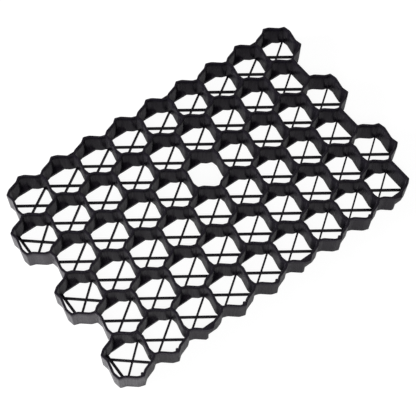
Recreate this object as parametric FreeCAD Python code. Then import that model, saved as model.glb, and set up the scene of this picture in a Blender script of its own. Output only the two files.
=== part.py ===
import FreeCAD, Part
import math
import os

from FreeCAD import Vector

# A grass paver grid: one flat tile of black plastic, moulded in one piece. Rows of six-sided cells
# with waved upright walls stand on crossed ribs, and the rows are staggered like brickwork, so
# that the ends and sides of one tile key into the next.
# Millimetres. +X runs along the long side, +Y across it, +Z up. The origin is the middle of the
# face that the tile lies on.

# Tile
module_length = 600.0       # length that one laid tile covers, along X
module_width = 400.0        # width that one laid tile covers, along Y
joint = 0.6                 # clearance between the walls of two laid tiles
columns = 9                 # cells in each row
rows = 6                    # row 0 is the one at the +Y edge
height = 42.0

# Walls
wall = 4.2                  # thickness at the top
draft = 1.1                 # degrees by which each face leans, so that the walls are thinner below
side_wall = 47.1            # straight distance between the ends of a wall that runs along Y
side_wave = 2.2             # how far each bend of such a wall lies from its straight line
slant_wave = 1.6            # the same for the slanted walls
bend_radius = 12.0          # at the line of the wall

# Crossed ribs and corner webs at the bottom of the cells
rib_width = 3.0
base_height = 5.5           # height of the ribs, webs and bars
edge_rib_drop = 4.4         # at the +Y edge, how far towards -Y of each valley a rib ends
web_reach = 9.6             # from the +Y corner of a cell to the straight edge of its web
open_cells = [(2, 4)]       # row and column of each cell that has no ribs
plain_corners = [(2, 8), (4, 8)]        # cells that have no web

# Clip bar in the cells that jut out at the -X end
bar_offset = 12.0           # from the outer wall's line to the middle of the bar
bar_width = 4.0

# Keys along the two long sides
first_key_column = 2        # first cell of the row at the -Y edge that has a cut corner
key_step = 3                # every third cell after it has one too
key_depth = 7.6             # from the -Y corner of a cell to the outer face of its key wall
key_wall = 2.4
lip_height = 8.0            # how much of the corner is left above the cut, as a lip
horn_reach = 6.0            # from the middle of the corner to the end of the wall beside the cut
horn_trim = 2.5             # how far the end of that wall stays back from the corner, along Y
key_gap = 1.5               # clearance between a key wall and the tongue of the next tile
lip_gap = 0.5               # clearance between a lip and the tongue below it
tongue_wall = 2.6
tongue_reach = 8.6          # from the middle of a valley to the free end of its tongue

# Round posts in the -Y corners of the other cells at that side
post_radius = 2.5
post_inset = 4.1            # from the corner of the walls to the middle of the post

pitch_x = (module_length - wall - joint) / columns
pitch_y = (module_width - wall - joint) / rows
zigzag = pitch_y - side_wall            # how far the corners of a row's edge swing along Y
lip_bottom = height - lip_height
tongue_depth = key_depth + wall + joint - key_gap       # from a valley to the tongue's outer face
UP = Vector(0, 0, 1)


def first_step(row):
    """Half pitch at which the row's first wall stands: even rows sit half a cell towards +X."""
    return 0 if row % 2 == 0 else -1


def last_step(row):
    """Half pitch at which the row's last wall stands."""
    return first_step(row) + 2 * columns


def corner(step, line):
    """Where the middles of the walls meet. step counts half pitches along X, and line counts the
    zigzag lines between the rows, from line 0 at the +Y edge."""
    swing = zigzag / 2 if (step + line) % 2 == 1 else -zigzag / 2
    return Vector((step - columns + 0.5) * pitch_x / 2, (rows / 2 - line) * pitch_y + swing, 0)


def middle_step(row, column):
    """Half pitch at which the middle of a cell lies."""
    return first_step(row) + 2 * column + 1


def centre(row, column):
    """The middle of a cell."""
    x = (middle_step(row, column) - columns + 0.5) * pitch_x / 2
    return Vector(x, ((rows - 1) / 2 - row) * pitch_y, 0)


def cell_loop(row, column):
    """The six corners of a cell, clockwise from its +Y corner, as step and line."""
    step = middle_step(row, column)
    top = [(step, row), (step + 1, row)]
    return top + [(step + 1, row + 1), (step, row + 1), (step - 1, row + 1), (step - 1, row)]


def edge_loop():
    """The corners along the outside of the tile, anticlockwise, as step and line."""
    loop = [(step, rows) for step in range(first_step(rows - 1), last_step(rows - 1) + 1)]
    for row in reversed(range(rows)):
        loop += [(last_step(row), row + 1), (last_step(row), row)]
    loop += [(step, 0) for step in reversed(range(first_step(0), last_step(0)))]
    for row in range(rows):
        loop += [(first_step(row), row), (first_step(row), row + 1)]
    return [spot for i, spot in enumerate(loop) if spot != loop[i - 1]]


def is_upright(start, end):
    """True for a wall that runs along Y."""
    return start[0] == end[0]


def is_straight(start, end):
    """The walls at the +X end of the rows that stand back are straight. All others are waved."""
    row = min(start[1], end[1])
    return is_upright(start, end) and row % 2 == 1 and start[0] == last_step(row)


def flanks_and_bends(start, end):
    """The left normals of the flat stretches of a wall, in the order of a walk along its middle,
    and the hubs of the two bends between them. A walk along any wall bends out to the left
    first, and then to the right."""
    a = corner(*start)
    b = corner(*end)
    along = (b - a).normalize()
    left = UP.cross(along)
    if is_straight(start, end):
        return [left], []
    wave = side_wave if is_upright(start, end) else slant_wave
    quarter = (b - a).Length / 4
    drop = bend_radius - wave
    lean = math.atan2(quarter, drop) - math.acos(bend_radius / math.hypot(quarter, drop))
    outward = left * math.cos(lean) - along * math.sin(lean)
    inward = left * math.cos(lean) + along * math.sin(lean)
    hubs = [a + along * quarter - left * drop, b - along * quarter + left * drop]
    return [outward, inward, outward], hubs


def outline(loop, side):
    """The points of the closed line along the faces that a walk round the loop has on its right,
    this far from the lines of the walls. Each bend of an upright wall is drawn as two flats, and
    each of the shallower bends of a slanted wall as one: true arcs in so many walls would take
    the mesh past the number of triangles that the part may have."""
    spots = list(zip(loop, loop[1:] + loop[:1]))
    walls = [flanks_and_bends(*spot) for spot in spots]
    points = []
    for i, (flanks, hubs) in enumerate(walls):
        before = walls[i - 1][0][-1]
        after = flanks[0]
        points.append(corner(*loop[i]) - (before + after) * (side / (1 + before.dot(after))))
        for k, hub in enumerate(hubs):
            reach = bend_radius - side if k == 0 else -bend_radius - side
            points.append(hub + flanks[k] * reach)
            if is_upright(*spots[i]):
                points.append(hub + (flanks[k] + flanks[k + 1]).normalize() * reach)
            points.append(hub + flanks[k + 1] * reach)
    return points


def closed(points):
    """The closed line through some points."""
    return Part.makePolygon(points + points[:1])


def wall_faces(loop):
    """The leaning faces along a loop, and the lines round their foot and their top."""
    foot = outline(loop, wall / 2 - height * math.tan(math.radians(draft)))
    top = [point + UP * height for point in outline(loop, wall / 2)]
    faces = []
    for i in range(len(foot)):
        faces.append(Part.Face(closed([foot[i - 1], foot[i], top[i], top[i - 1]])))
    return faces, closed(foot), closed(top)


def waved_walls():
    """All walls, as one solid: leaning faces round the tile and round the space of each cell, and
    one pierced face below and above."""
    faces = []
    feet = []
    tops = []
    for loop in [edge_loop()] + [cell_loop(*cell) for cell in cells]:
        leaning, foot, top = wall_faces(loop)
        faces += leaning
        feet.append(foot)
        tops.append(top)
    faces.append(Part.makeFace(feet, "Part::FaceMakerBullseye"))
    faces.append(Part.makeFace(tops, "Part::FaceMakerBullseye"))
    return Part.makeSolid(Part.makeShell(faces))


def prism(face, top):
    """A level face, drawn up to a height above it."""
    return face.extrude(UP * top)


def bar_between(a, b, width, top):
    """A straight bar from a to b, with this height."""
    side = UP.cross((b - a).normalize()) * (width / 2)
    return prism(Part.Face(closed([a + side, b + side, b - side, a - side])), top)


def cell_prism(row, column, top):
    """The space of a cell, out to the lines of its walls."""
    return prism(Part.Face(closed(outline(cell_loop(row, column), 0.0))), top)


def juts_out(row, column):
    """True for the cells that stand out at the -X end."""
    return column == 0 and row % 2 == 1


def bar_x(row, column):
    """Where the middle of the clip bar lies."""
    return centre(row, column).x - pitch_x / 2 + bar_offset


def crossed_ribs(row, column):
    """Two ribs from corner to corner. In a cell with a clip bar they run to the bar."""
    step = middle_step(row, column)
    falling = [corner(step - 1, row), corner(step + 1, row + 1)]
    rising = [corner(step - 1, row + 1), corner(step + 1, row)]
    if juts_out(row, column):
        falling[0].x = bar_x(row, column)
        rising[0].x = bar_x(row, column)
    if row == 0 and column < columns - 1:
        rising[1].y -= edge_rib_drop
    return [bar_between(*falling, rib_width, base_height), bar_between(*rising, rib_width, base_height)]


def corner_web(row, column):
    """The web that closes the +Y corner of a cell at the bottom."""
    peak = corner(middle_step(row, column), row)
    return prism(Part.makePlane(pitch_x, web_reach, peak - Vector(pitch_x / 2, web_reach, 0)), base_height)


def clip_bar(row, column):
    """The bar beside the outer wall of a cell that juts out at the -X end."""
    middle = Vector(bar_x(row, column), centre(row, column).y, 0)
    reach = Vector(0, pitch_y, 0)
    return bar_between(middle - reach, middle + reach, bar_width, base_height)


def base_of_cell(row, column):
    """All that lies at the bottom of a cell, out to the lines of its walls."""
    parts = []
    if (row, column) not in plain_corners:
        parts.append(corner_web(row, column))
    if (row, column) not in open_cells:
        parts += crossed_ribs(row, column)
    if juts_out(row, column):
        parts.append(clip_bar(row, column))
    return parts[0].multiFuse(parts[1:]).common(cell_prism(row, column, base_height))


def key_columns():
    """Columns of the cells that have a cut corner at the -Y side."""
    return range(first_key_column, columns, key_step)


def key_corner(column):
    """The -Y corner of a cell at the -Y side."""
    return corner(middle_step(rows - 1, column), rows)


def key_notch(column):
    """What is cut from below the lip for the tongue of the next tile. At its -X side the cut
    leaves the end of the slanted wall standing as a horn with a skew end."""
    peak = key_corner(column)
    inner = peak.y + key_depth
    trim = peak.y + horn_trim
    line = [(peak.x - pitch_x / 4, trim), (peak.x - horn_reach, trim), (peak.x, inner)]
    line += [(peak.x + pitch_x / 2, inner), (peak.x + pitch_x / 2, peak.y - wall)]
    line.append((peak.x - pitch_x / 4, peak.y - wall))
    return prism(Part.Face(closed([Vector(x, y, 0) for x, y in line])), lip_bottom)


def key_inside(column):
    """The straight wall that closes the cut corner, and the lip that covers it."""
    side = Vector(pitch_x / 2, 0, 0)
    middle = key_corner(column) + Vector(0, key_depth + key_wall / 2, 0)
    upright = bar_between(middle - side, middle + side, key_wall, lip_bottom)
    depth = key_depth + key_wall / 2 + wall
    lip = prism(Part.makePlane(pitch_x, depth, middle - side - Vector(0, depth, -lip_bottom)), lip_height)
    return upright.fuse(lip).common(cell_prism(rows - 1, column, height))


def tongue(column):
    """The straight wall in the valley at the +Y side, before the cell with this number. It
    stands on the wall at its -X end, its +X end is free, and it ends below the next tile's lip."""
    valley = corner(middle_step(0, column) - 1, 0)
    middle = valley + Vector(0, tongue_depth - tongue_wall / 2, 0)
    start = middle - Vector(pitch_x / 2, 0, 0)
    end = middle + Vector(tongue_reach, 0, 0)
    bar = bar_between(start, end, tongue_wall, lip_bottom - lip_gap)
    return bar.cut(cell_prism(0, column - 1, height))


def post(row, column):
    """A round post in the -Y corner of a cell."""
    low = corner(middle_step(row, column), row + 1)
    round_post = Part.makeCylinder(post_radius, height, low + Vector(0, post_inset, 0))
    return round_post.common(cell_prism(row, column, height))


cells = [(row, column) for row in range(rows) for column in range(columns)]

# Walls with the cut corners at the -Y side
grid = waved_walls().cut([key_notch(column) for column in key_columns()])

# What is moulded on to the walls
added = [base_of_cell(*cell) for cell in cells]
added += [key_inside(column) for column in key_columns()]
added += [tongue(column) for column in key_columns()]
added += [post(rows - 1, column) for column in range(columns) if column not in key_columns()]

paver_grid = grid.fuse(added).removeSplitter()

os.makedirs("parts", exist_ok=True)
paver_grid.exportStep("parts/paver_grid.step")
print("solids", len(paver_grid.Solids), "valid", paver_grid.isValid(), "box", paver_grid.BoundBox)
print("volume in litres", round(paver_grid.Volume / 1e6, 3), "faces", len(paver_grid.Faces))
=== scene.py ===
import math

import bmesh
import bpy
from mathutils import Matrix, Vector
from mathutils.geometry import delaunay_2d_cdt


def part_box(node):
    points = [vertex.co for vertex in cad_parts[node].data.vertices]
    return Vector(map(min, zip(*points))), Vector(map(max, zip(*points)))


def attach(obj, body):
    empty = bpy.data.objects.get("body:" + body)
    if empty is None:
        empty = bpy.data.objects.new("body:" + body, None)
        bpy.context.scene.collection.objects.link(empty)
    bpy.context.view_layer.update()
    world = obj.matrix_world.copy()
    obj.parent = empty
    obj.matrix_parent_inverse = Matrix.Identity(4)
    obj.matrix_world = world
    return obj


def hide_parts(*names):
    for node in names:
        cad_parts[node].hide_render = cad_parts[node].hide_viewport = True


# Sizes of the tile in millimetres, as in the part's source
MM = 0.001
MODULE_LENGTH = 600.0
MODULE_WIDTH = 400.0
JOINT = 0.6
COLUMNS = 9
ROWS = 6
WALL = 4.2
DRAFT = math.radians(1.1)
SIDE_WALL = 47.1
SIDE_WAVE = 2.2
SLANT_WAVE = 1.6
BEND_RADIUS = 12.0
RIB_WIDTH = 3.0
BASE_HEIGHT = 5.5
EDGE_RIB_DROP = 4.4
WEB_REACH = 9.6
OPEN_CELLS = [(2, 4)]
PLAIN_CORNERS = [(2, 8), (4, 8)]
BAR_OFFSET = 12.0
BAR_WIDTH = 4.0
FIRST_KEY_COLUMN = 2
KEY_STEP = 3
KEY_DEPTH = 7.6
KEY_WALL = 2.4
LIP_HEIGHT = 8.0
HORN_REACH = 6.0
HORN_TRIM = 2.5
KEY_GAP = 1.5
LIP_GAP = 0.5
TONGUE_WALL = 2.6
TONGUE_REACH = 8.6
POST_RADIUS = 2.5
POST_INSET = 4.1

# Finish of the moulding, in millimetres
INNER_FILLET = 2.2          # along each wall, from the corner to the start of the fillet
OUTER_FILLET = 1.4
BASE_FILLET = 0.6
RIM_ROUND = 0.7
RIM_MIDDLE = 0.3 * RIM_ROUND    # how near the middle of the rounding comes to the rim's two planes
FOOT_ROUND = 0.4
BASE_SIDE = 0.5             # how far the base stays from the lines of the walls that it ends in
PLANE_GAP = 0.03            # what joins the walls ends this far inside their end planes

# How finely the forms are drawn
BEND_PARTS = 8              # stretches of a bend
STRAIGHT_PARTS = 4          # stretches of a straight wall
FILLET_PARTS = 4            # stretches of a corner's fillet
POST_SIDES = 24
CORNER_REACH = 5.0          # how far a wall's face is lengthened to find where it meets the next
SAME = 1e-3                 # points nearer than this are one point
MESH_SAME = 1e-5            # the same for the triangles of flat faces
PARALLEL = 1e-12            # lines whose cross product is below this don't cross
SHARP_EDGE = math.radians(40)
KEY_POINTS = 5              # points at each key between which the outline doesn't lean
ALL_TRIANGLES = 0           # kinds of result of delaunay_2d_cdt: all, or those inside the outline
INSIDE_TRIANGLES = 1

# Looks
WHITE = (1, 1, 1, 1)
PLASTIC_COLOUR = (0.0054, 0.0045, 0.0078, 1)
PLASTIC_IOR = 1.52
PLASTIC_TINT = (0.95, 0.85, 1, 1)   # of its reflections
PLASTIC_ROUGHNESS = (0.22, 0.38)
STREAK_SCALE = (420, 420, 22)       # fine along X and Y and long along Z
STREAK_DETAIL = 3.0
STREAK_RANGE = (0.3, 0.7)   # part of the noise that is spread over the roughness
GRAIN_SCALE = 900.0
RELIEF_STRENGTH = 0.2
RELIEF_DEPTH = 0.0003       # metres
PAPER_COLOUR = (0.9, 0.9, 0.9, 1)
PAPER_ROUGHNESS = 0.9
PAPER_GLOW = 1.15
PAPER_GLOW_SHARE = 0.8      # share of the glow in what the camera sees of the paper
FLOOR_SIZE = 8              # metres
SKY = 0.24                  # strength of the light from all round. The camera sees it white.

# Lamps: name, place and size in metres, power in watts
LAMPS = [("side_light", (-2.5, 1.1, 0.95), 1.2, 125),
         ("front_light", (-1.3, -1.6, 2.6), 1.4, 32)]

# Camera, fitted to the crossings of the ribs and then to matched windows of the picture
PHOTO_WIDTH = 416           # pixels
FOCAL_LENGTH = 1053         # pixels
SENSOR_WIDTH = 36           # millimetres
CAMERA_PLACE = (-0.5475, -0.6962, 1.5812)   # metres
CAMERA_AZIMUTH = math.radians(-38.102)
CAMERA_ELEVATION = math.radians(61.245)
CAMERA_ROLL = math.radians(1.363)

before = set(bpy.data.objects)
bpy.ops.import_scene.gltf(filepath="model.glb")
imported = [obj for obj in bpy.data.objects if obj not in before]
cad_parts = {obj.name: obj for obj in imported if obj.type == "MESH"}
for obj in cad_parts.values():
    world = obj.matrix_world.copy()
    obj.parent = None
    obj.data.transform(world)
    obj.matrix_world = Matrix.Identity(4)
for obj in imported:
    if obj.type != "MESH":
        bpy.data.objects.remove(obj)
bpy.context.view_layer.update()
tile_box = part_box("paver_grid")

# Sizes that follow from the others
HEIGHT = (tile_box[1][2] - tile_box[0][2]) / MM
LIP_BOTTOM = HEIGHT - LIP_HEIGHT
PITCH_X = (MODULE_LENGTH - WALL - JOINT) / COLUMNS
PITCH_Y = (MODULE_WIDTH - WALL - JOINT) / ROWS
ZIGZAG = PITCH_Y - SIDE_WALL
TONGUE_DEPTH = KEY_DEPTH + WALL + JOINT - KEY_GAP
# All outlines are drawn at the height of the lips' lower faces, and lean in or out from there
SIDE = WALL / 2 - LIP_HEIGHT * math.tan(DRAFT)

# Levels of an upright face: a height, and how far the face moves out from the wall there
RIM_PROFILE = [(RIM_ROUND, 0.0), (RIM_MIDDLE, RIM_MIDDLE), (0.0, RIM_ROUND)]    # below the top
LOW_LEVELS = [(0.0, -FOOT_ROUND), (FOOT_ROUND, 0.0), (LIP_BOTTOM, 0.0)]
HIGH_LEVELS = [(LIP_BOTTOM, 0.0)] + [(HEIGHT - z, -out) for z, out in RIM_PROFILE]


def first_step(row):
    """Half pitch at which the row's first wall stands."""
    return 0 if row % 2 == 0 else -1


def last_step(row):
    """Half pitch at which the row's last wall stands."""
    return first_step(row) + 2 * COLUMNS


def step_x(step):
    """The place along X of a half pitch."""
    return (step - COLUMNS + 0.5) * PITCH_X / 2


def corner(step, line):
    """Where the lines of the walls meet."""
    swing = ZIGZAG / 2 if (step + line) % 2 == 1 else -ZIGZAG / 2
    return Vector((step_x(step), (ROWS / 2 - line) * PITCH_Y + swing))


def middle_step(row, column):
    """Half pitch at which the middle of a cell lies."""
    return first_step(row) + 2 * column + 1


def cell_centre(row, column):
    """The middle of a cell."""
    return Vector((step_x(middle_step(row, column)), ((ROWS - 1) / 2 - row) * PITCH_Y))


def cell_loop(row, column):
    """The six corners of a cell, clockwise from its +Y corner."""
    step = middle_step(row, column)
    top = [(step, row), (step + 1, row)]
    bottom = [(step + 1, row + 1), (step, row + 1), (step - 1, row + 1)]
    return top + bottom + [(step - 1, row)]


def edge_loop():
    """The corners along the outside of the tile, anticlockwise."""
    loop = [(step, ROWS) for step in range(first_step(ROWS - 1), last_step(ROWS - 1) + 1)]
    for row in reversed(range(ROWS)):
        loop += [(last_step(row), row + 1), (last_step(row), row)]
    loop += [(step, 0) for step in reversed(range(first_step(0), last_step(0)))]
    for row in range(ROWS):
        loop += [(first_step(row), row), (first_step(row), row + 1)]
    return [spot for i, spot in enumerate(loop) if spot != loop[i - 1]]


def walls_of(loop):
    """The start and end of each wall of a loop."""
    return list(zip(loop, loop[1:] + loop[:1]))


def key_columns():
    """Columns of the cells that have a cut corner at the -Y side."""
    return range(FIRST_KEY_COLUMN, COLUMNS, KEY_STEP)


def is_key(row, column):
    """True for the cells with a cut corner."""
    return row == ROWS - 1 and column in key_columns()


def key_corner(column):
    """The -Y corner of a cell at the -Y side."""
    return corner(middle_step(ROWS - 1, column), ROWS)


def is_straight(start, end):
    """The walls at the +X end of the rows that stand back are straight. All others are waved."""
    row = min(start[1], end[1])
    return start[0] == end[0] and row % 2 == 1 and start[0] == last_step(row)


def wall_face(start, end, side):
    """Points along the face of a wall, side to the right of its line: three flats and two bends."""
    a, b = corner(*start), corner(*end)
    along = (b - a).normalized()
    left = Vector((-along.y, along.x))
    if is_straight(start, end):
        return [a.lerp(b, i / STRAIGHT_PARTS) - left * side for i in range(STRAIGHT_PARTS + 1)]
    wave = SIDE_WAVE if start[0] == end[0] else SLANT_WAVE
    quarter = (b - a).length / 4
    drop = BEND_RADIUS - wave
    lean = math.atan2(quarter, drop) - math.acos(BEND_RADIUS / math.hypot(quarter, drop))

    def ray(part):
        return left * math.cos(lean * part) + along * math.sin(lean * part)

    turns = [2 * i / BEND_PARTS - 1 for i in range(BEND_PARTS + 1)]
    first_hub = a + along * quarter - left * drop
    second_hub = b - along * quarter + left * drop
    points = [a - ray(-1) * side]
    points += [first_hub + ray(turn) * (BEND_RADIUS - side) for turn in turns]
    points += [second_hub - ray(-turn) * (BEND_RADIUS + side) for turn in turns]
    points.append(b - ray(-1) * side)
    return points


def lines_cross(a, b, c, d):
    """How far along ab and cd, from 0 to 1, the two lines cross."""
    ab, cd, ac = b - a, d - c, c - a
    k = ab.x * cd.y - ab.y * cd.x
    if abs(k) < PARALLEL:
        return None
    return (ac.x * cd.y - ac.y * cd.x) / k, (ac.x * ab.y - ac.y * ab.x) / k


def join_faces(before, after):
    """Trims two faces to where they cross near their common corner, and returns the crossing."""
    far_end = before[-1] + (before[-1] - before[-2]).normalized() * CORNER_REACH
    far_start = after[0] + (after[0] - after[1]).normalized() * CORNER_REACH
    long_before = before + [far_end]
    long_after = [far_start] + after
    for i in reversed(range(len(before) // 2, len(long_before) - 1)):
        for k in range(len(after) // 2):
            t = lines_cross(long_before[i], long_before[i + 1], long_after[k], long_after[k + 1])
            if t and 0 <= t[0] <= 1 and 0 <= t[1] <= 1:
                spot = long_before[i].lerp(long_before[i + 1], t[0])
                return long_before[:i + 1], long_after[k + 1:], spot
    raise ValueError("two faces do not cross")


def rounded(before, spot, after, reach):
    """Trims two faces back from a corner, and returns the curve between them."""
    while len(before) > 2 and (before[-1] - spot).length < reach:
        before.pop()
    while len(after) > 2 and (after[0] - spot).length < reach:
        after.pop(0)
    a = spot + (before[-1] - spot).normalized() * reach
    b = spot + (after[0] - spot).normalized() * reach
    curve = []
    for i in range(FILLET_PARTS + 1):
        t = i / FILLET_PARTS
        curve.append(a * (1 - t) ** 2 + spot * (2 * t * (1 - t)) + b * t ** 2)
    return curve


def loop_faces(loop, side):
    """For each wall of a loop, its trimmed face, and the corner where it starts."""
    faces = [wall_face(*spots, side) for spots in walls_of(loop)]
    spots = [None] * len(faces)
    for i in range(len(faces)):
        faces[i - 1], faces[i], spots[i] = join_faces(faces[i - 1], faces[i])
    return faces, spots


def cell_outline(row, column, side, fillet):
    """The closed line round a cell's space, clockwise, this far from the lines of its walls."""
    faces, spots = loop_faces(cell_loop(row, column), side)
    curves = [rounded(faces[i - 1], spots[i], faces[i], fillet) for i in range(len(faces))]
    return [point for curve, face in zip(curves, faces) for point in curve + face]


def clipped(points, origin, inward):
    """The part of a closed line on one side of a straight line."""
    out = []
    for i, b in enumerate(points):
        a = points[i - 1]
        da, db = (a - origin).dot(inward), (b - origin).dot(inward)
        if (da >= 0) != (db >= 0):
            out.append(a.lerp(b, da / (da - db)))
        if db >= 0:
            out.append(b)
    return out


def crossed_at(points, y):
    """A row of points, with one more wherever the line through them crosses this place along Y."""
    out = points[:1]
    for a, b in zip(points, points[1:]):
        if (a.y < y) != (b.y < y):
            out.append(Vector((a.x + (b.x - a.x) * (y - a.y) / (b.y - a.y), y)))
        out.append(b)
    return out


def space_outlines(row, column):
    """The closed lines round the space of a cell below and above the lips, and for each the points
    between which it doesn't lean."""
    points = cell_outline(row, column, SIDE, INNER_FILLET)
    if not is_key(row, column):
        return (points, None), (points, None)
    below = key_corner(column).y + KEY_DEPTH + KEY_WALL
    above = key_corner(column).y + KEY_DEPTH + KEY_WALL / 2
    points = crossed_at(crossed_at(points, below), above)
    low = [p for p in points if p.y > below - SAME]
    high = [p for p in points if p.y > above - SAME]
    low_upright = [p for p in low if p.y < below + SAME]
    high_upright = [p for p in high if p.y < above + SAME]
    return (low, low_upright), (high, high_upright)


def horn_line(wall, column):
    """From the end of the horn beside a cut corner, back along the inside of its wall, to the
    key's wall."""
    place = key_corner(column)
    heel = Vector((place.x - HORN_REACH, place.y + HORN_TRIM))
    end = Vector((place.x, place.y + KEY_DEPTH))
    inner = crossed_at(list(reversed(wall_face(*wall, -SIDE))), end.y)
    for a, b in zip(inner, inner[1:]):
        t = lines_cross(heel, end, a, b)
        if t and 0 <= t[0] <= 1 and 0 <= t[1] <= 1:
            tip = a.lerp(b, t[1])
            return [heel, tip] + [p for p in inner if tip.y + SAME < p.y < end.y + SAME]
    raise ValueError("the horn has no tip")


def tile_outlines():
    """The closed lines round the outside of the tile below and above the lips, anticlockwise, and
    for the lower one the points between which it doesn't lean."""
    loop = edge_loop()
    walls = walls_of(loop)
    faces, spots = loop_faces(loop, SIDE)
    curves = [rounded(faces[i - 1], spots[i], faces[i], OUTER_FILLET) for i in range(len(loop))]
    keys = {(middle_step(ROWS - 1, column), ROWS): column for column in key_columns()}
    horns = {}
    for i, spot in enumerate(loop):
        if spot in keys:
            place = key_corner(keys[spot])
            faces[i - 1] = crossed_at(faces[i - 1], place.y + HORN_TRIM)
            faces[i] = crossed_at(faces[i], place.y + KEY_DEPTH)
            horns[i] = horn_line(walls[i - 1], keys[spot])
    low, high, upright = [], [], []
    for i in range(len(loop)):
        high += curves[i] + faces[i]
        if i in horns:
            horn, place = horns[i], key_corner(keys[loop[i]])
            while low[-1].y < place.y + HORN_TRIM - SAME:
                low.pop()
            rest = [p for p in faces[i] if p.y > place.y + KEY_DEPTH - SAME]
            upright += [low[-1], horn[0], horn[1], horn[-1], rest[0]]
            low += horn + rest
        else:
            low += curves[i] + faces[i]
    return low, high, upright


def run_between(line, a, b):
    """The part of a row of points from one of its points to a later one."""
    spots = [min(range(len(line)), key=lambda i: (line[i] - end).length) for end in (a, b)]
    return line[spots[0]:spots[1] + 1]


def moved(points, upright, lean, edge):
    """A closed line moved out from the wall by edge, and by lean too but between upright points."""
    still = [bool(upright) and any((p - q).length < SAME for q in upright) for p in points]
    count = len(points)
    normals, shifts = [], []
    for i in range(count):
        k = (i + 1) % count
        along = (points[k] - points[i]).normalized()
        normals.append(Vector((along.y, -along.x)))
        shifts.append(edge if still[i] and still[k] else edge + lean)
    out = []
    for i, p in enumerate(points):
        n0, n1, s0, s1 = normals[i - 1], normals[i], shifts[i - 1], shifts[i]
        c = n0.dot(n1)
        if s0 == s1:
            out.append(p + (n0 + n1) * (s0 / (1 + c)))
        else:
            out.append(p + (n0 * (s0 - s1 * c) + n1 * (s1 - s0 * c)) / (1 - c * c))
    return out


def inside(p, line):
    """True where a point lies inside a closed line."""
    hit = False
    for i, b in enumerate(line):
        a = line[i - 1]
        if (a.y > p.y) != (b.y > p.y) and p.x < a.x + (b.x - a.x) * (p.y - a.y) / (b.y - a.y):
            hit = not hit
    return hit


def triangulated(lines, kind):
    """Points and triangles of a flat area that has these closed lines as edges."""
    points, edges = [], []
    for line in lines:
        start = len(points)
        points += line
        edges += [(start + i, start + (i + 1) % len(line)) for i in range(len(line))]
    found, _, triangles, _, _, _ = delaunay_2d_cdt(points, edges, [], kind, MESH_SAME)
    return found, triangles


def turned_up(triangle, points):
    """A triangle's corners in anticlockwise order, and its middle."""
    a, b, c = (points[i] for i in triangle)
    order = list(triangle) if (b - a).cross(c - a) > 0 else list(reversed(triangle))
    return order, (a + b + c) / 3


class Shell:
    """Collects the points and faces of the tile, in millimetres."""

    def __init__(self):
        self.points = []
        self.faces = []

    def add(self, line, z):
        """Puts the points of a line in at a height, and returns the number of the first."""
        start = len(self.points)
        self.points += [(p.x, p.y, z) for p in line]
        return start

    def rings(self, outline, upright, levels):
        """Upright faces along a closed line. Each level is a height, and how far the line moves out
        from the wall there. Returns the lowest and the highest line."""
        lines = []
        for z, out in levels:
            lines.append(moved(outline, upright, (z - LIP_BOTTOM) * math.tan(DRAFT), out))
        starts = [self.add(line, z) for line, (z, _) in zip(lines, levels)]
        count = len(outline)
        for low, high in zip(starts, starts[1:]):
            for i in range(count):
                k = (i + 1) % count
                self.faces.append((low + i, low + k, high + k, high + i))
        return lines[0], lines[-1]

    def cap(self, outside, holes, z, faces_up):
        """A flat face with holes."""
        found, triangles = triangulated([outside] + holes, INSIDE_TRIANGLES)
        start = self.add(found, z)
        around = [(min(p.x for p in line), max(p.x for p in line), min(p.y for p in line),
                   max(p.y for p in line), line) for line in holes]
        for triangle in triangles:
            order, mid = turned_up(triangle, found)
            near = [line for x0, x1, y0, y1, line in around if x0 < mid.x < x1 and y0 < mid.y < y1]
            if any(inside(mid, line) for line in near):
                continue
            self.faces.append(tuple(start + i for i in (order if faces_up else reversed(order))))

    def block(self, outline, top):
        """An upright block from just above the ground, with its edges rounded like the walls'."""
        foot = [(PLANE_GAP, -FOOT_ROUND), (FOOT_ROUND, 0.0)]
        rim = [(top - z, -out) for z, out in RIM_PROFILE]
        low, high = self.rings(outline, outline, foot + rim)
        self.cap(low, [], PLANE_GAP, False)
        self.cap(high, [], top, True)

    def plate(self, outlines, z0, z1):
        """One flat plate of the shape that several closed lines cover together."""
        found, triangles = triangulated(outlines, ALL_TRIANGLES)
        kept = []
        for triangle in triangles:
            order, mid = turned_up(triangle, found)
            if any(inside(mid, line) for line in outlines):
                kept.append(order)
        low, high = self.add(found, z0), self.add(found, z1)
        sides = set()
        for order in kept:
            self.faces.append(tuple(high + i for i in order))
            self.faces.append(tuple(low + i for i in reversed(order)))
            sides |= set(walls_of(order))
        for a, b in sides:
            if (b, a) not in sides:
                self.faces.append((low + a, low + b, high + b, high + a))


def strip(a, b, width, limit):
    """The closed line round a straight strip between two points, cut to the inside of another."""
    along = (b - a).normalized()
    side = Vector((-along.y, along.x)) * (width / 2)
    corners = [a - side, b - side, b + side, a + side]
    points = limit
    for start, end in walls_of(corners):
        along = end - start
        points = clipped(points, start, Vector((-along.y, along.x)).normalized())
    return points


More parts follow.
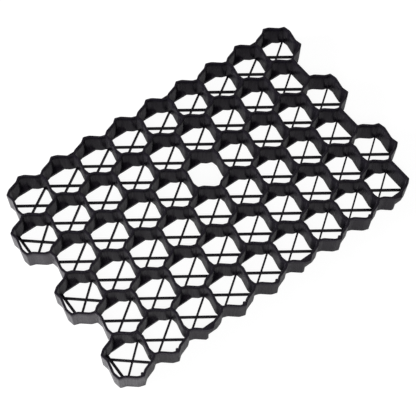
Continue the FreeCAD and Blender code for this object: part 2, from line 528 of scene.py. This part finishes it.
def base_outlines(row, column):
    """The web, ribs and bar at the bottom of a cell."""
    to_plus_y = Vector((0, 1))
    limit = cell_outline(row, column, BASE_SIDE, BASE_FILLET)
    if is_key(row, column):
        key = key_corner(column)
        limit = clipped(limit, Vector((key.x, key.y + KEY_DEPTH + KEY_WALL / 2)), to_plus_y)
    step = middle_step(row, column)
    lines = []
    if (row, column) not in PLAIN_CORNERS:
        peak = corner(step, row)
        lines.append(clipped(limit, Vector((peak.x, peak.y - WEB_REACH)), to_plus_y))
    if (row, column) in OPEN_CELLS:
        return lines
    falling = [corner(step - 1, row), corner(step + 1, row + 1)]
    rising = [corner(step - 1, row + 1), corner(step + 1, row)]
    if column == 0 and row % 2 == 1:
        centre = cell_centre(row, column)
        x = centre.x - PITCH_X / 2 + BAR_OFFSET
        falling[0].x = x
        rising[0].x = x
        bar = [Vector((x, centre.y - PITCH_Y)), Vector((x, centre.y + PITCH_Y))]
        lines.append(strip(*bar, BAR_WIDTH, limit))
    if row == 0 and column < COLUMNS - 1:
        rising[1].y -= EDGE_RIB_DROP
    lines.append(strip(*falling, RIB_WIDTH, limit))
    lines.append(strip(*rising, RIB_WIDTH, limit))
    return lines


def tongue_outline(column):
    """The straight wall in the valley at the +Y side, from inside the wall that it stands on."""
    step = middle_step(0, column) - 1
    valley = corner(step, 0)
    outer = valley.y + TONGUE_DEPTH
    inner = outer - TONGUE_WALL
    line = wall_face((step - 1, 0), (step, 0), 0.0)
    starts = [next(p for p in crossed_at(line, y) if abs(p.y - y) < SAME) for y in (inner, outer)]
    end = valley.x + TONGUE_REACH
    return [starts[0], Vector((end, inner)), Vector((end, outer)), starts[1]]


def post_outline(column):
    """The round post in the -Y corner of a cell."""
    middle = key_corner(column) + Vector((0, POST_INSET))
    turns = [2 * math.pi * i / POST_SIDES for i in range(POST_SIDES)]
    return [middle + Vector((math.cos(turn), math.sin(turn))) * POST_RADIUS for turn in turns]


def draw_walls(shell):
    """The walls of all cells, with the lips over the keys."""
    low, high, upright = tile_outlines()
    low_outside, _ = shell.rings(low, upright, LOW_LEVELS)
    _, high_outside = shell.rings(high, None, HIGH_LEVELS)
    for i in range(0, len(upright), KEY_POINTS):
        trim, far = upright[i], upright[i + KEY_POINTS - 1]
        notch = list(reversed(run_between(low, trim, far)))[1:-1]
        shell.cap(run_between(high, trim, far) + notch, [], LIP_BOTTOM, False)
    low_holes, high_holes = [], []
    for row in range(ROWS):
        for column in range(COLUMNS):
            (low, low_upright), (high, high_upright) = space_outlines(row, column)
            low_holes.append(shell.rings(low, low_upright, LOW_LEVELS)[0])
            high_holes.append(shell.rings(high, high_upright, HIGH_LEVELS)[1])
            if low_upright:
                ledge = [p for p in high if p.y < low_upright[0].y + SAME]
                shell.cap(ledge, [], LIP_BOTTOM, True)
    shell.cap(high_outside, high_holes, HEIGHT, True)
    shell.cap(low_outside, low_holes, 0.0, False)


def build_tile():
    """The whole tile as one mesh."""
    shell = Shell()
    draw_walls(shell)
    for row in range(ROWS):
        for column in range(COLUMNS):
            shell.plate(base_outlines(row, column), PLANE_GAP, BASE_HEIGHT)
    for column in range(COLUMNS):
        if is_key(ROWS - 1, column):
            shell.block(tongue_outline(column), LIP_BOTTOM - LIP_GAP)
        else:
            shell.block(post_outline(column), HEIGHT - PLANE_GAP)
    mesh = bpy.data.meshes.new("paver_tile")
    mesh.from_pydata([(x * MM, y * MM, z * MM) for x, y, z in shell.points], [], shell.faces)
    welded = bmesh.new()
    welded.from_mesh(mesh)
    bmesh.ops.remove_doubles(welded, verts=welded.verts, dist=SAME * MM)
    welded.to_mesh(mesh)
    welded.free()
    mesh.validate()
    mesh.update()
    mesh.shade_smooth()
    mesh.set_sharp_from_angle(angle=SHARP_EDGE)
    tile = bpy.data.objects.new("paver_tile", mesh)
    bpy.context.collection.objects.link(tile)
    return tile


def black_plastic():
    """Black moulded plastic: satin, with faint upright flow streaks and a fine uneven gloss."""
    material = bpy.data.materials.new("black_plastic")
    material.use_nodes = True
    nodes, links = material.node_tree.nodes, material.node_tree.links
    shader = nodes["Principled BSDF"]
    shader.inputs["Base Color"].default_value = PLASTIC_COLOUR
    shader.inputs["IOR"].default_value = PLASTIC_IOR
    shader.inputs["Specular Tint"].default_value = PLASTIC_TINT
    place = nodes.new("ShaderNodeTexCoord")
    stretch = nodes.new("ShaderNodeMapping")
    stretch.inputs["Scale"].default_value = STREAK_SCALE
    links.new(place.outputs["Object"], stretch.inputs["Vector"])
    streaks = nodes.new("ShaderNodeTexNoise")
    streaks.inputs["Scale"].default_value = 1.0
    streaks.inputs["Detail"].default_value = STREAK_DETAIL
    links.new(stretch.outputs["Vector"], streaks.inputs["Vector"])
    gloss = nodes.new("ShaderNodeMapRange")
    gloss.inputs["From Min"].default_value = STREAK_RANGE[0]
    gloss.inputs["From Max"].default_value = STREAK_RANGE[1]
    gloss.inputs["To Min"].default_value = PLASTIC_ROUGHNESS[0]
    gloss.inputs["To Max"].default_value = PLASTIC_ROUGHNESS[1]
    links.new(streaks.outputs["Fac"], gloss.inputs["Value"])
    links.new(gloss.outputs["Result"], shader.inputs["Roughness"])
    grain = nodes.new("ShaderNodeTexNoise")
    grain.inputs["Scale"].default_value = GRAIN_SCALE
    links.new(place.outputs["Object"], grain.inputs["Vector"])
    relief = nodes.new("ShaderNodeMath")
    relief.operation = "ADD"
    links.new(streaks.outputs["Fac"], relief.inputs[0])
    links.new(grain.outputs["Fac"], relief.inputs[1])
    bump = nodes.new("ShaderNodeBump")
    bump.inputs["Strength"].default_value = RELIEF_STRENGTH
    bump.inputs["Distance"].default_value = RELIEF_DEPTH
    links.new(relief.outputs["Value"], bump.inputs["Height"])
    links.new(bump.outputs["Normal"], shader.inputs["Normal"])
    return material


def white_ground():
    """White paper. Rays that come straight from the camera see it nearly unshaded, so that the
    ground is white and keeps a faint shadow."""
    material = bpy.data.materials.new("white_ground")
    material.use_nodes = True
    nodes, links = material.node_tree.nodes, material.node_tree.links
    shader = nodes["Principled BSDF"]
    shader.inputs["Base Color"].default_value = PAPER_COLOUR
    shader.inputs["Roughness"].default_value = PAPER_ROUGHNESS
    glow = nodes.new("ShaderNodeEmission")
    glow.inputs["Color"].default_value = WHITE
    glow.inputs["Strength"].default_value = PAPER_GLOW
    path = nodes.new("ShaderNodeLightPath")
    share = nodes.new("ShaderNodeMath")
    share.operation = "MULTIPLY"
    share.inputs[1].default_value = PAPER_GLOW_SHARE
    mix = nodes.new("ShaderNodeMixShader")
    links.new(path.outputs["Is Camera Ray"], share.inputs[0])
    links.new(share.outputs["Value"], mix.inputs["Fac"])
    links.new(shader.outputs["BSDF"], mix.inputs[1])
    links.new(glow.outputs["Emission"], mix.inputs[2])
    links.new(mix.outputs["Shader"], nodes["Material Output"].inputs["Surface"])
    return material


def studio_world():
    """A weak even light from all round, which the camera sees as white."""
    world = bpy.data.worlds.new("studio")
    world.use_nodes = True
    nodes, links = world.node_tree.nodes, world.node_tree.links
    background = nodes["Background"]
    background.inputs["Color"].default_value = WHITE
    path = nodes.new("ShaderNodeLightPath")
    strength = nodes.new("ShaderNodeMath")
    strength.operation = "MULTIPLY_ADD"
    strength.inputs[1].default_value = 1.0 - SKY
    strength.inputs[2].default_value = SKY
    links.new(path.outputs["Is Camera Ray"], strength.inputs[0])
    links.new(strength.outputs["Value"], background.inputs["Strength"])
    return world


def soft_light(name, place, size, power):
    """A square lamp that points at the middle of the tile."""
    lamp = bpy.data.lights.new(name, "AREA")
    lamp.shape = "SQUARE"
    lamp.size = size
    lamp.energy = power
    light = bpy.data.objects.new(name, lamp)
    bpy.context.collection.objects.link(light)
    light.location = place
    light.rotation_euler = Vector(place).to_track_quat("Z", "Y").to_euler()


def photo_camera():
    """The camera, where the photo was taken from."""
    camera = bpy.data.objects.new("camera", bpy.data.cameras.new("camera"))
    bpy.context.collection.objects.link(camera)
    camera.data.sensor_width = SENSOR_WIDTH
    camera.data.lens = SENSOR_WIDTH * FOCAL_LENGTH / PHOTO_WIDTH
    level = math.cos(CAMERA_ELEVATION)
    back = Vector((math.sin(CAMERA_AZIMUTH) * level, -math.cos(CAMERA_AZIMUTH) * level,
                   math.sin(CAMERA_ELEVATION)))
    turn = back.to_track_quat("Z", "Y").to_matrix().to_4x4()
    roll = Matrix.Rotation(CAMERA_ROLL, 4, "Z")
    camera.matrix_world = Matrix.Translation(CAMERA_PLACE) @ (turn @ roll)
    return camera


tile = build_tile()
tile.data.materials.append(black_plastic())
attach(tile, "root")
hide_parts("paver_grid")

bpy.ops.mesh.primitive_plane_add(size=FLOOR_SIZE)
floor = bpy.context.object
floor.name = "floor"
floor.data.materials.append(white_ground())

bpy.context.scene.world = studio_world()
for lamp in LAMPS:
    soft_light(*lamp)
bpy.context.scene.camera = photo_camera()
bpy.context.scene.view_settings.view_transform = "Standard"
